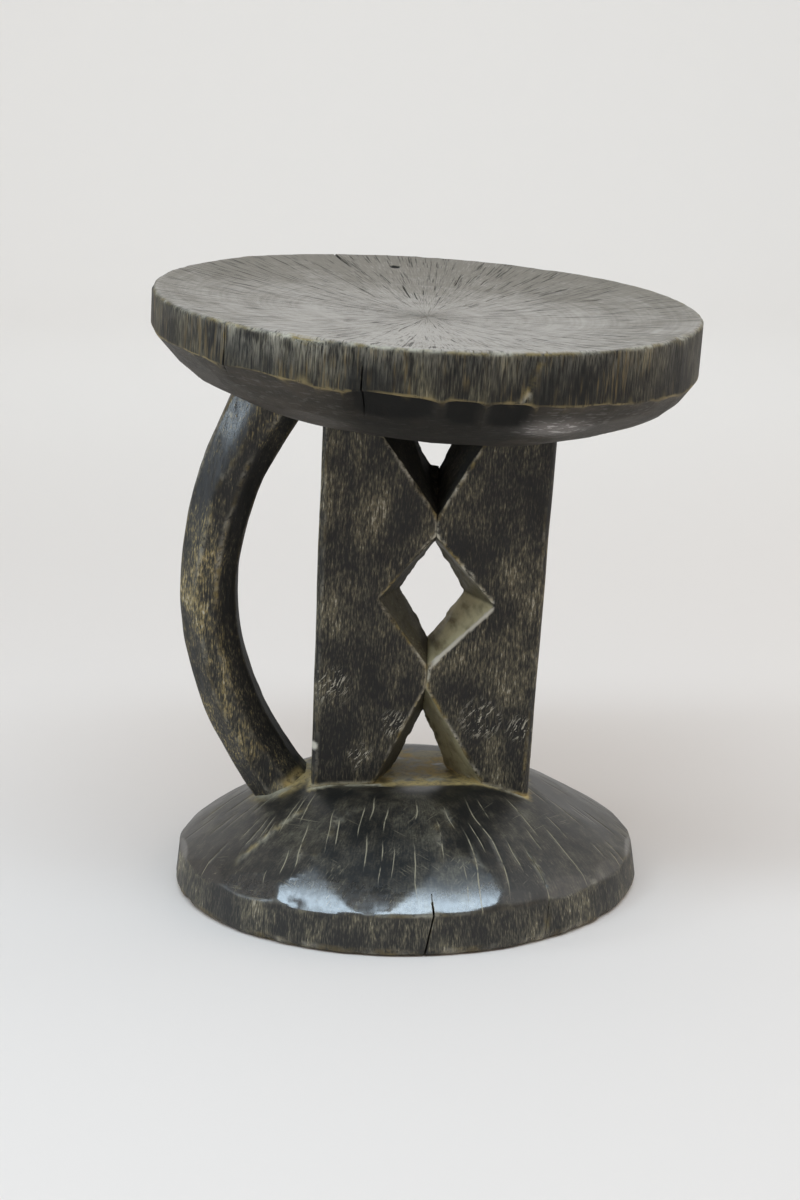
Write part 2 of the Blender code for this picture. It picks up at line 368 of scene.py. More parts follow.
def make_seat(material):
    rng = np.random.default_rng(11)
    checks = scatter_checks(
        rng, SEAT_CHECKS, SEAT_MARKED + SCOOP_RIDGES, 0.012, 0.140, 0.036, (0.28 * MM, 0.5 * MM), (0.4 * MM, 1.1 * MM)
    )
    checks = [check._replace(width=check.width * (1 + 0.8 * abs(math.cos(check.angle)))) for check in checks]
    spokes = lay_spokes(SEAT_SPOKES, checks)
    radius, height, lean = seat_profile()
    run = np.concatenate([[radius[0]], radius[0] + np.cumsum(np.hypot(np.diff(radius), np.diff(height)))])
    radius, height, lean, run = (values[:, None] for values in (radius, height, lean, run))
    angle = spoke_angles(spokes, checks, radius, math.radians(0.45))
    sway = np.stack([np.cos(angle) * 2.2, np.sin(angle) * 2.2, run * 22 + 0 * angle], axis=-1)
    calm = ease(0.004, 0.02, radius) * (1 - ease(0.120, 0.146, run))
    angle = angle + math.radians(1.6) * fractal(sway, 5, 2) * calm
    across, deep = radius * np.cos(angle), radius * np.sin(angle)
    grid = carve_bowl(rng, np.stack([across, deep, height - lean * across], axis=-1))
    normals = grid_normals(grid)
    run = run + 0 * angle

    rim = run[DISH_RINGS - 1, 0]
    edge = rim + 2 * MM
    wall_foot = rim + RIM_EDGE * math.pi / 2 + SEAT_WALL - RIM_EDGE
    top = 1 - ease(rim - 1 * MM, rim + 2 * MM, run)
    under = ease(0.22, 0.42, -normals[..., 2]) * (run > rim + 9 * MM)
    wall = ease(rim, rim + 4 * MM, run) * (1 - under)
    front = ease(0.2, -0.8, np.sin(angle))
    front_left = np.exp(-(((angle % TAU - math.radians(240)) / math.radians(17)) ** 2))

    relief = 0.5 * MM * fractal(grid / 0.05, 21) * top * ease(0, 0.03, radius)
    rays = np.stack([np.cos(angle) * 24, np.sin(angle) * 24, run * 26], axis=-1)
    relief += 0.16 * MM * fractal(rays, 22, 2) * top
    upright = grid * (1 / 0.007, 1 / 0.007, 1 / 0.05)
    relief += 0.20 * MM * fractal(upright, 23, 2) * wall
    relief += 0.2 * MM * fractal(grid / 0.02, 24, 2) * under
    chips = np.maximum(0, fractal(grid / 0.010, 25, 2) - 0.25) * (0.25 + 0.75 * front)
    relief -= (1.3 + 1.6 * front_left) * MM * chips * np.exp(-(((run - edge) / (2.5 * MM)) ** 2))
    relief += 0.2 * MM * fractal(grid / 0.006, 26, 2) * np.exp(-(((run - edge) / (2 * MM)) ** 2))
    # Painted shade: the insides of the adze scoops, and the front middle of the bowl beneath them, are darkened towards
    # black where the underside lies in shade.
    hollow_shade = 0 * run
    inward = run - wall_foot
    for facing, half, depth in SCOOPS:
        aside = ((angle - facing + math.pi) % TAU - math.pi) / half
        arch = np.maximum(0, 1 - np.abs(aside) ** 3)
        lip = inward + 1.2 * MM - 3.2 * MM * np.minimum(1, aside**4)
        cup = ease(0, 2.4 * MM, lip) * (1 - ease(9 * MM, 30 * MM, inward)) * arch
        relief -= depth * cup
        hollow_shade = np.maximum(hollow_shade, ease(0.06, 0.65, cup))
    # Painted shade under the front middle of the seat, from the first scoop to past the last.
    turned_in = ease(math.radians(249), math.radians(257), angle % TAU)
    turned_in = turned_in * (1 - ease(math.radians(288), math.radians(296), angle % TAU))
    hollow_shade = np.maximum(hollow_shade, 0.7 * turned_in * under)
    share, cut = open_checks(spokes, checks, run, 27)
    nick = np.maximum(0, 1 - np.hypot(across - NICK.x, deep - NICK.y) / (4 * MM))
    cut = np.maximum(cut, 1.6 * MM * nick)
    grid = grid + normals * (relief - cut)[..., None]

    mesh = grid_mesh("carved_seat", grid)
    proud = bulge(mesh, 5)
    lip_line = np.exp(-(((run - edge) / (1.1 * MM)) ** 2))
    turned = with_poles(np.exp(-(((run - wall_foot) / (3 * MM)) ** 2)))
    whole = 1 - ease(0.0, 0.03, relaxed(mesh, with_poles(share)[:, None], 9)[:, 0])
    # Painted highlight: a pale grey patch low on the underside's right, standing in for the sheen the bowl shows there.
    painted_sheen = 1.6 * np.exp(-(((angle % TAU - math.radians(297.5)) / math.radians(8)) ** 2))
    painted_sheen = painted_sheen * np.exp(-(((run - wall_foot - 19 * MM) / (7 * MM)) ** 2))
    drip = np.exp(-np.maximum(0, run - edge) / (10 * MM)) * ease(edge - 1 * MM, edge, run) * (1 - under)
    upper = ease(rim - 2 * MM, rim, run) * (1 - ease(wall_foot - 8 * MM, wall_foot - 4 * MM, run))
    rubbed = 0.6 * ease(0.10 * MM, 0.45 * MM, proud) * with_poles(upper * (share < 0.01))
    down = (run - edge) / SEAT_WALL
    smear = np.exp(-(((angle % TAU - math.radians(292.5) + math.radians(4.5) * down) / math.radians(0.5)) ** 2))
    smear = smear * ease(0.1, 0.3, down) * (1 - ease(0.85, 1.0, down))
    rubbed = np.maximum(rubbed, with_poles(0.9 * smear))
    # Painted shade: the dish is darkened towards the rear and towards the sides, while the front keeps the sheen it
    # catches.
    painted_rear_shade = 0.9 * ease(-0.01, 0.13, grid[..., 1]) + 0.45 * ease(0.05, 0.15, np.abs(grid[..., 0]))
    set_mask(mesh, "end_grain", with_poles(1 - ease(rim + 0.8 * MM, rim + 2.4 * MM, run)))
    set_mask(mesh, "under", with_poles(under))
    set_mask(mesh, "painted_shade", with_poles(hollow_shade))
    set_mask(mesh, "crack_and_shade", with_poles(1.8 * share))
    set_mask(mesh, "wear", np.maximum(rubbed, with_poles(lip_line * (0.35 + 0.35 * front + 0.3 * front_left))))
    set_mask(mesh, "drip", with_poles(drip * (0.25 + 0.75 * front_left)))
    set_mask(mesh, "dust", ease(0.03 * MM, 0.14 * MM, proud) * turned * whole)
    set_mask(mesh, "painted_sheen", with_poles(painted_sheen * under))
    set_mask(mesh, "painted_rear_shade", with_poles(painted_rear_shade))
    piece = add_piece("carved_seat", mesh, SEAT_FRAME)
    dress(piece, "seat", material, 50)


# Foot

FOOT_SPOKES = 330
FOOT_CHECKS = 108
FOOT_MARKED = [
    Check(math.radians(-85.8), [(0.112, 0.180)], 0.55 * MM, 2.6 * MM),
    Check(math.radians(-62.2), [(0.098, 0.152)], 0.5 * MM, 1.0 * MM),
    Check(math.radians(-70.7), [(0.056, 0.131)], 0.5 * MM, 0.25 * MM),
    Check(math.radians(-76.6), [(0.080, 0.146)], 0.5 * MM, 0.25 * MM),
    Check(math.radians(-51.2), [(0.090, 0.134)], 0.5 * MM, 0.25 * MM),
    Check(math.radians(-55.6), [(0.066, 0.100)], 0.45 * MM, 0.25 * MM),
    Check(math.radians(-88.6), [(0.052, 0.076), (0.090, 0.126)], 0.45 * MM, 0.25 * MM),
    Check(math.radians(-96.6), [(0.062, 0.084), (0.089, 0.118)], 0.5 * MM, 0.25 * MM),
    Check(math.radians(-100.5), [(0.052, 0.076), (0.084, 0.110)], 0.5 * MM, 0.25 * MM),
    Check(math.radians(-107.4), [(0.074, 0.100)], 0.45 * MM, 0.25 * MM),
    Check(math.radians(-114.8), [(0.082, 0.120)], 0.45 * MM, 0.25 * MM),
]
# Adze facets round the shoulder: direction, how steeply each faces up, how deep it bites and its polish
SHOULDER_FACETS = [
    (math.radians(-112), math.radians(41.6), 1.3 * MM, 1.0),
    (math.radians(-99), math.radians(50), 0.3 * MM, 1.0),
    (math.radians(-88.5), math.radians(45), 0.3 * MM, 1.0),
    (math.radians(-76.5), math.radians(44.5), 0.3 * MM, 1.0),
    (math.radians(-61), math.radians(37), 0.0, 0.25),
    (math.radians(-133), math.radians(38), 1.2 * MM, 0.5),
    (math.radians(-151), math.radians(36), 1.5 * MM, 0.3),
    (math.radians(-170), math.radians(37), 1.3 * MM, 0.3),
    (math.radians(169), math.radians(35), 1.0 * MM, 0.0),
    (math.radians(-45), math.radians(36), 1.1 * MM, 0.3),
    (math.radians(-27), math.radians(38), 1.4 * MM, 0.3),
    (math.radians(-8), math.radians(36), 1.2 * MM, 0.3),
    (math.radians(12), math.radians(37), 1.0 * MM, 0.0),
]
FACET_ROUNDING = 2.6
# A dusty rub across the left of the dome: where it starts and ends
DOME_RUB = np.array(((-0.054, -0.049), (-0.0907, -0.0733)))
ADZE_STROKES = 30
# The checks run on down the band at a slant
BAND_SLANT = math.radians(-2.4)


def flat_radius(angle):
    return 1 / np.hypot(np.cos(angle) / (BASE_FLAT_LENGTH / 2), np.sin(angle) / (BASE_FLAT_DEPTH / 2))


def dome_height(across, deep):
    """Height of the foot's dome above the floor."""
    angle = np.arctan2(deep, across)
    front = np.maximum(0, -np.sin(angle)) ** 2
    back = np.maximum(0, np.sin(angle)) ** 2
    power = DOME_POWER_SIDE + (DOME_POWER_FRONT - DOME_POWER_SIDE) * front
    power = power + (DOME_POWER_BACK - DOME_POWER_SIDE) * back
    flat = flat_radius(angle)
    share = np.clip((np.hypot(across, deep) - flat) / (BASE_BAND_RADIUS - flat), 0, 1)
    return BASE_BAND + (BASE_HEIGHT - BASE_BAND) * (1 - share**power) ** (1 / power)


def reach_from_pith(angle, radius):
    """Distance from the pith to a round of this radius about the foot's middle."""
    toward = FOOT_PITH[0] * np.cos(angle) + FOOT_PITH[1] * np.sin(angle)
    return np.sqrt(toward**2 - FOOT_PITH @ FOOT_PITH + radius**2) - toward


def make_foot(material):
    rng = np.random.default_rng(4)
    checks = scatter_checks(
        rng, FOOT_CHECKS, FOOT_MARKED, 0.060, 0.128, 0.034, (0.32 * MM, 0.44 * MM), (0.1 * MM, 0.25 * MM)
    )
    spokes = lay_spokes(FOOT_SPOKES, checks)
    share = np.concatenate([np.linspace(0.05, 0.9, 52), np.linspace(0.9, 0.992, 22)[1:], [0.9965, 1.0]])[:, None]
    outer = reach_from_pith(spokes.angle, BASE_BAND_RADIUS)
    angle = spoke_angles(spokes, checks, share * outer, math.radians(0.6))
    sway = np.stack([np.cos(angle) * 3, np.sin(angle) * 3, share * outer * 30], axis=-1)
    angle = angle + math.radians(0.9) * fractal(sway, 6, 3) * ease(0.1, 0.4, share)
    reach = share * reach_from_pith(angle, BASE_BAND_RADIUS)
    bend = 0.55 * np.exp(-(((spokes.angle - math.radians(247)) / math.radians(18)) ** 2))
    across = FOOT_PITH[0] + reach * np.cos(angle) * share**-bend
    deep = FOOT_PITH[1] + reach * np.sin(angle)
    dome = np.stack([across, deep, dome_height(across, deep)], axis=-1)
    facing = np.arctan2(deep[-1], across[-1])

    height = np.concatenate([np.linspace(BASE_BAND, BASE_EDGE, 15)[1:], BASE_EDGE * np.array((0.55, 0.25, 0.06, 0))])
    slope = (BASE_RADIUS - BASE_BAND_RADIUS) / (BASE_BAND - BASE_EDGE)
    radius = np.minimum(BASE_RADIUS, BASE_RADIUS - slope * (height - BASE_EDGE))
    low = np.clip(1 - height / BASE_EDGE, 0, 1)
    radius = radius - BASE_EDGE * (1 - np.sqrt(1 - low**2))
    radius = np.concatenate([radius, BASE_RADIUS * np.array((0.9, 0.6, 0.2))])
    height = np.concatenate([height, np.zeros(3)])
    slant = facing + BAND_SLANT * np.clip(1 - height / BASE_BAND, 0, 1)[:, None]
    ring = np.stack([np.cos(slant), np.sin(slant), 0 * slant], axis=-1)
    band = radius[:, None, None] * ring + height[:, None, None] * np.array((0, 0, 1.0))
    grid = np.concatenate([dome, band])
    run = np.concatenate([np.hypot(across, deep), BASE_BAND_RADIUS + BASE_BAND - height[:, None] + 0 * band[..., 0]])

    for _ in range(ADZE_STROKES):
        toward = rng.uniform(0, TAU)
        spot = rng.uniform(0.075, 0.122) * np.array((math.cos(toward), math.sin(toward)))
        steps = spot + np.array(((0, 0), (1 * MM, 0), (0, 1 * MM)))
        surface = np.column_stack([steps, dome_height(steps[:, 0], steps[:, 1])])
        normal = unit(np.cross(surface[1] - surface[0], surface[2] - surface[0]))
        grid, _over = shave(grid, surface[0] - rng.uniform(0.25, 0.6) * MM * normal, normal)
    shaved = 0
    polish = 0
    for toward, rise, bite, polished in SHOULDER_FACETS:
        level = np.array((math.cos(toward), math.sin(toward), 0))
        normal = level * math.cos(rise) + np.array((0, 0, math.sin(rise)))
        grid, over = shave(grid, level * 0.1285 + np.array((0, 0, 0.0230)) - bite * normal, normal, FACET_ROUNDING)
        shaved = np.maximum(shaved, ease(0.02 * MM, 0.25 * MM, over))
        polish = np.maximum(polish, polished * ease(0.02 * MM, 0.25 * MM, over))
    normals = grid_normals(grid)
    on_floor = run > BASE_BAND_RADIUS + BASE_BAND - 0.5 * MM
    side = ease(BASE_BAND_RADIUS - 1 * MM, BASE_BAND_RADIUS + 3 * MM, run)
    relief = 0.35 * MM * fractal(grid / 0.034, 31, 2) * (1 - side) * (1 - 0.9 * shaved)
    hoop = np.stack([np.cos(facing)[None] * 6 + 0 * run, np.sin(facing)[None] * 6 + 0 * run, run / 0.003], axis=-1)
    relief += 0.05 * MM * fractal(hoop, 32, 2) * (1 - side) * (1 - shaved)
    upright = grid * (1 / 0.008, 1 / 0.008, 1 / 0.05)
    relief += 0.28 * MM * fractal(upright, 33, 2) * side
    chips = np.maximum(0, fractal(grid / 0.012, 34, 2) - 0.3)
    low_edge = BASE_BAND_RADIUS + BASE_BAND - 2 * MM
    relief -= 1.6 * MM * chips * np.exp(-(((run - low_edge) / (3 * MM)) ** 2))
    relief -= 0.5 * MM * chips * np.exp(-(((run - BASE_BAND_RADIUS) / (3 * MM)) ** 2))
    opened, cut = open_checks(spokes, checks, run, 35)
    cut = np.where(cut < 0.8 * MM, cut * (1 - shaved), cut)
    relief[on_floor] = 0
    cut[on_floor] = 0
    grid = grid + normals * (relief - cut)[..., None]
    grid[..., 2] = np.maximum(grid[..., 2], 0)

    mesh = grid_mesh("domed_foot", grid)
    proud = bulge(mesh, 5)
    in_log = np.linalg.inv(np.array(LOG_FRAME))
    local = grid @ in_log[:3, :3].T + in_log[:3, 3]
    aside = np.abs(local[..., 0] - PILLAR_SHIFT) - LEFT_FOOT_REACH
    ahead = np.abs(local[..., 1]) - PILLAR_THICKNESS / 2
    away = np.hypot(np.maximum(aside, 0), np.maximum(ahead, 0))
    handle_foot = np.hypot((local[..., 0] + 0.062) / 1.3, local[..., 1] / 1.7)
    settled = np.maximum(1 - ease(0.3 * MM, 3.2 * MM, away), 0.8 * (1 - ease(0.012, 0.019, handle_foot)))
    course = DOME_RUB[1] - DOME_RUB[0]
    offset = grid[..., :2] - DOME_RUB[0]
    along = offset @ course / (course @ course)
    beside = np.abs(offset @ np.array((-course[1], course[0]))) / np.linalg.norm(course)
    rub = (1 - ease(0.2 * MM, 2.8 * MM, beside)) * ease(-0.1, 0.1, along) * (1 - ease(0.85, 1.15, along))
    settled = np.maximum(settled, 0.55 * rub)
    split = ease(0.8 * MM, 1.4 * MM, cut)
    front = ease(0.5, -0.4, grid[..., 1] / BASE_RADIUS)
    set_mask(mesh, "end_grain", with_poles(1 - side))
    set_mask(mesh, "crack_and_shade", with_poles(np.maximum(split, opened * side)))
    set_mask(mesh, "check", with_poles(1.2 * opened * (1 - side) * (1 - split) * (0.25 + 0.75 * front)))
    set_mask(mesh, "dust", with_poles(settled * (1 - side)))
    set_mask(mesh, "polish", with_poles(polish * (1 - side) * ease(0.043, 0.024, grid[..., 2])))
    set_mask(mesh, "wear", ease(0.10 * MM, 0.5 * MM, proud))
    piece = add_piece("domed_foot", mesh, Matrix.Identity(4))
    dress(piece, "base", material, 50)


# Pillar boards

BOARD_VOXEL = 0.95 * MM
BOARD_SINK = 1.5 * MM
NECK_LAP = 0.6 * MM
# Scratched places on the front faces: across, height and size
LEFT_SCUFFS = [(-0.040, 0.118, 0.014), (-0.004, 0.098, 0.010), (-0.022, 0.078, 0.010)]
CHIP_ACROSS, CHIP_HEIGHT, CHIP_SIZE = -0.048, 0.0825, 3.0 * MM
RIGHT_SCUFFS = [(0.044, 0.104, 0.015), (0.066, 0.100, 0.010)]


def make_board(name, node, material, seed, scuffs, pale):
    """The solid's own form, remeshed finely, with dressed faces, worn edges and splintered throats."""
    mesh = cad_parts[node].data.copy()
    mesh.transform(LOG_FRAME.inverted())
    points = mesh_points(mesh)
    points[:, 2] += BOARD_SINK * ((points[:, 2] > 0.238) * 1.0 - (points[:, 2] < 0.072))
    parting = points[:, 0] - PILLAR_SHIFT
    points[:, 0] -= NECK_LAP * np.sign(parting) * (np.abs(parting) < 1 * MM)
    set_points(mesh, points)
    rough = add_piece(name + "_rough", mesh, LOG_FRAME)
    remesh = rough.modifiers.new("remesh", "REMESH")
    remesh.mode = "VOXEL"
    remesh.voxel_size = BOARD_VOXEL
    graph = bpy.context.evaluated_depsgraph_get()
    mesh = bpy.data.meshes.new_from_object(rough.evaluated_get(graph))
    mesh.name = name
    bpy.data.objects.remove(rough)
    set_points(mesh, relaxed(mesh, mesh_points(mesh), 2))

    points, normals = mesh_points(mesh), mesh_normals(mesh)
    edge = ease(0.12 * MM, 0.55 * MM, bulge(mesh, 8))
    faces = 0.55 * MM * fractal(points / (0.03, 0.03, 0.06), seed, 2)
    grain = 0.14 * MM * fractal(points / (0.0028, 0.0028, 0.03), seed + 10, 2)
    nibble = 0.9 * MM * edge * np.maximum(0, fractal(points / 0.008, seed + 20, 2) + 0.1)
    throat = np.exp(-((points[:, 1] / (4 * MM)) ** 2))
    throat *= 1 - ease(0.040, 0.046, np.abs(points[:, 0] - PILLAR_SHIFT))
    splinter = 0.5 * MM * throat * fractal(points / (0.0045, 0.006, 0.0045), seed + 30, 2)
    set_points(mesh, points + normals * (faces + grain - nibble + splinter)[:, None])

    points, normals = mesh_points(mesh), mesh_normals(mesh)
    world = points @ np.array(LOG_FRAME)[:3, :3].T + np.array(LOG_FRAME)[:3, 3]
    lift = world[:, 2] - dome_height(world[:, 0], world[:, 1])
    inside = 1 - ease(0.5, 0.8, np.abs(normals[:, 1]))
    inside *= 1 - ease(0.043, 0.05, np.abs(points[:, 0] - PILLAR_SHIFT))
    # Painted shade: high in the window, inside the upper V, the walls are darkened towards black.
    shaded = inside * ease(WINDOW_HEIGHT + 0.028, WINDOW_HEIGHT + 0.04, points[:, 2])
    # Pale tan on the window's walls, most where they face up: dust that settled there, made paler as painted light
    # where the lamps reach little; the left board gets less of it.
    least = 0.2 + 0.35 * ease(WINDOW_HEIGHT - 0.035, WINDOW_HEIGHT - 0.045, points[:, 2])
    dust_and_painted_light = pale * inside * (least + (1 - least) * ease(0.0, 0.6, normals[:, 2])) * (1 - shaded)
    scuffed = 0
    for across, height, size in scuffs:
        away = np.hypot(points[:, 0] - across, points[:, 2] - height)
        scuffed = np.maximum(scuffed, (1 - ease(0.3 * size, size, away)) * ease(-0.02, -0.03, points[:, 1]))
    set_mask(mesh, "wear", ease(0.10 * MM, 0.40 * MM, bulge(mesh, 8)) * (1 - shaded))
    set_mask(mesh, "dust", 0.95 * (1 - ease(0.3 * MM, 2.4 * MM, lift)))
    # Black for painted shade in the upper V, and half of it on the left board's window walls, where less light reaches.
    set_mask(mesh, "crack_and_shade", np.maximum(0.75 * shaded, 0.5 * (1 - pale) * inside))
    set_mask(mesh, "scuff", scuffed + 0 * lift)
    set_mask(mesh, "polish", 0 * lift)
    set_mask(mesh, "tan", dust_and_painted_light)
    across, rise = points[:, 0] - PILLAR_SHIFT, points[:, 2] - WINDOW_HEIGHT
    pale_right = np.exp(-(((across - 0.045) / 0.022) ** 2) - ((rise + 0.035) / 0.05) ** 2)
    pale_left = 0.7 * np.exp(-(((across + 0.040) / 0.018) ** 2) - ((rise - 0.035) / 0.04) ** 2)
    dark_foot = ease(-0.05, -0.085, rise) * ease(0.02, -0.005, across)
    dark_head = np.exp(-(((across - 0.030) / 0.020) ** 2) - ((rise - 0.055) / 0.03) ** 2)
    set_mask(mesh, "faded_and_lit", 0.35 + 0.65 * (pale_right + pale_left) - 0.35 * (dark_foot + dark_head))
    low_sill = ease(0.001, 0.004, across) * (1 - ease(0.0, 0.006, rise)) * ease(-0.042, -0.036, rise)
    at_face = ease(-0.024, -0.029, points[:, 1]) * (1 - ease(0.036, 0.04, across))
    keen = ease(0.08 * MM, 0.22 * MM, bulge(mesh, 8)) * low_sill * at_face
    away = np.hypot(points[:, 0] - CHIP_ACROSS, points[:, 2] - CHIP_HEIGHT)
    chip = (1 - ease(0.5 * CHIP_SIZE, CHIP_SIZE, away)) * ease(-0.02, -0.026, points[:, 1])
    set_mask(mesh, "keen", np.maximum(keen, chip))
    piece = add_piece(name, mesh, LOG_FRAME)
    dress(piece, node, material, 60)


# Handle

HANDLE_RINGS = 250
HANDLE_SPOKES = 112


def along_bow(foot, belly, head, share):
    """The smooth run of a value from foot to head that passes the belly half way."""
    return foot * (1 - share) * (1 - 2 * share) + belly * 4 * share * (1 - share) + head * share * (2 * share - 1)


def make_handle(material):
    share = np.linspace(0.08, 0.97, HANDLE_RINGS)[:, None]
    middle = np.stack(
        [
            -along_bow(HANDLE_FOOT_REACH, HANDLE_BELLY_REACH, HANDLE_HEAD_REACH, share),
            0 * share,
            along_bow(BASE_BAND, HANDLE_BELLY_HEIGHT, SEAT_HEIGHT - SEAT_WALL, share),
        ],
        axis=-1,
    )
    tangent = unit(np.gradient(middle, axis=0))
    outward = np.stack([-tangent[..., 2], tangent[..., 1], tangent[..., 0]], axis=-1)
    width = along_bow(HANDLE_FOOT_WIDTH, HANDLE_BELLY_WIDTH, HANDLE_HEAD_WIDTH, share) / 2
    depth = along_bow(HANDLE_FOOT_DEPTH, HANDLE_BELLY_DEPTH, HANDLE_HEAD_DEPTH, share) / 2
    turn = np.arange(HANDLE_SPOKES)[None] / HANDLE_SPOKES * TAU

    distance = [width, (width + depth - HANDLE_CHAMFER) / math.sqrt(2), depth]
    distance += [distance[1], width, distance[1], depth, distance[1]]
    distance[1] = distance[1] - 3.2 * MM * np.exp(-(((share - 0.84) / 0.10) ** 2))
    total = 0
    for number, base in enumerate(distance):
        strokes = np.concatenate([share * 9, np.full_like(share, number * 7.3), 0 * share], axis=-1)
        wander = (0.3 if number % 4 == 0 else 0.8) * MM * fractal(strokes, 41, 2)[:, None]
        facing = number * TAU / 8 + (number == 1) * math.radians(9) * np.exp(-(((share - 0.84) / 0.12) ** 2))
        toward = np.maximum(0, np.cos(turn - facing))
        total = total + (toward / (base + wander)) ** 36
    size = total ** (-1 / 36)
    aside = np.array((0.0, -1.0, 0.0))
    grid = middle + (size * np.cos(turn))[..., None] * outward + (size * np.sin(turn))[..., None] * aside
    if (np.cross(tangent[:, 0], outward[:, 0]) * aside).sum() > 0:
        grid = grid[::-1]
        share = share[::-1]
    normals = grid_normals(grid)
    relief = 0.25 * MM * fractal(grid / 0.016, 42, 2)
    relief += 0.12 * MM * fractal(grid / (0.003, 0.003, 0.02), 43, 2)
    grid = grid + normals * relief[..., None]

    mesh = grid_mesh("bowed_handle", grid)
    points = mesh_points(mesh)
    proud = bulge(mesh, 6)
    world = points @ np.array(LOG_FRAME)[:3, :3].T + np.array(LOG_FRAME)[:3, 3]
    lift = world[:, 2] - dome_height(world[:, 0], world[:, 1])
    ridge = np.exp(-(((turn - math.radians(105)) / math.radians(3)) ** 2)) * ease(0.70, 0.58, share)
    ridge += 0.6 * np.exp(-(((turn - math.radians(37)) / math.radians(4)) ** 2)) * ease(0.60, 0.52, share)
    ridge = with_poles(ridge * ease(0.36, 0.46, share))
    set_mask(mesh, "wear", np.maximum(0.8 * ease(0.08 * MM, 0.40 * MM, proud), ridge))
    settled = 0.9 * (1 - ease(0.5 * MM, 8 * MM, lift)) * ease(-0.075, -0.06, points[:, 0])
    set_mask(mesh, "dust", settled)
    # Painted shade: the facet that faces inwards is darkened, for the shade on that side of the handle.
    set_mask(mesh, "crack_and_shade", with_poles(0.6 * ease(-0.75, -0.9, np.cos(turn)) + 0 * share))
    set_mask(mesh, "scuff", 0 * proud)
    set_mask(mesh, "tan", 0 * proud)
    set_mask(mesh, "keen", 0 * proud)
    # Painted light: the facets facing the front and the front-outer side are paler, the counterpart of the darkened
    # inner facet.
    to_front = np.exp(-(((turn - TAU / 4) / math.radians(26)) ** 2))
    to_side = 0.4 * np.exp(-(((turn - TAU / 8) / math.radians(22)) ** 2))
    set_mask(mesh, "faded_and_lit", with_poles((to_front + to_side) * ease(0.1, 0.3, share) * ease(0.85, 0.65, share)))
    shine = np.exp(-(((share - 0.845) / 0.05) ** 2)) * ease(0.9, 0.98, np.cos(turn - math.radians(54)))
    set_mask(mesh, "polish", with_poles(shine))
    piece = add_piece("bowed_handle", mesh, LOG_FRAME)
    dress(piece, "handle", material, 60)


# Finishes, with colours as linear light

# Near black: the darkest tone of the grain, and also painted shade in the seat's scoops and under its front.
SOOT_AND_SHADE_BLACK = (0.008, 0.008, 0.007)
BARK_BROWN = (0.030, 0.026, 0.019)
OLIVE = (0.070, 0.064, 0.044)
FLECK = (0.165, 0.140, 0.085)
OCHRE = (0.265, 0.200, 0.076)
PALE_RUB = (0.500, 0.470, 0.380)
KEEN_WHITE = (0.600, 0.580, 0.500)
DUST_TAN = (0.480, 0.365, 0.150)
DUST_GREY = (0.400, 0.370, 0.270)
# Pale tan of the window's walls: the colour of dust, made pale enough to stand for light as well.
WINDOW_TAN = (0.560, 0.515, 0.320)
WINDOW_BROWN = (0.140, 0.115, 0.065)
CHECK_DUST = (0.340, 0.302, 0.205)
SEAT_GREY = (0.415, 0.372, 0.330)
SEAT_DARK = (0.205, 0.180, 0.147)
SEAT_LINE = (0.032, 0.027, 0.021)
UNDER_GREY = (0.048, 0.040, 0.030)
# Lighter grey of the underside's tool-mark streaks, painted as sheen.
STREAK_SHEEN_GREY = (0.110, 0.102, 0.092)
# Pale grey of the painted highlight under the seat's right.
SHEEN_GREY = (0.420, 0.400, 0.390)
ASH = (0.120, 0.112, 0.088)
STAIN_BROWN = (0.135, 0.096, 0.040)
EDGE_OCHRE = (0.260, 0.205, 0.095)
# Near black: the insides of open cracks and the nick, and painted shade in the pillar's window and on the handle's
# inner facet.
CRACK_AND_SHADE_BLACK = (0.005, 0.005, 0.004)


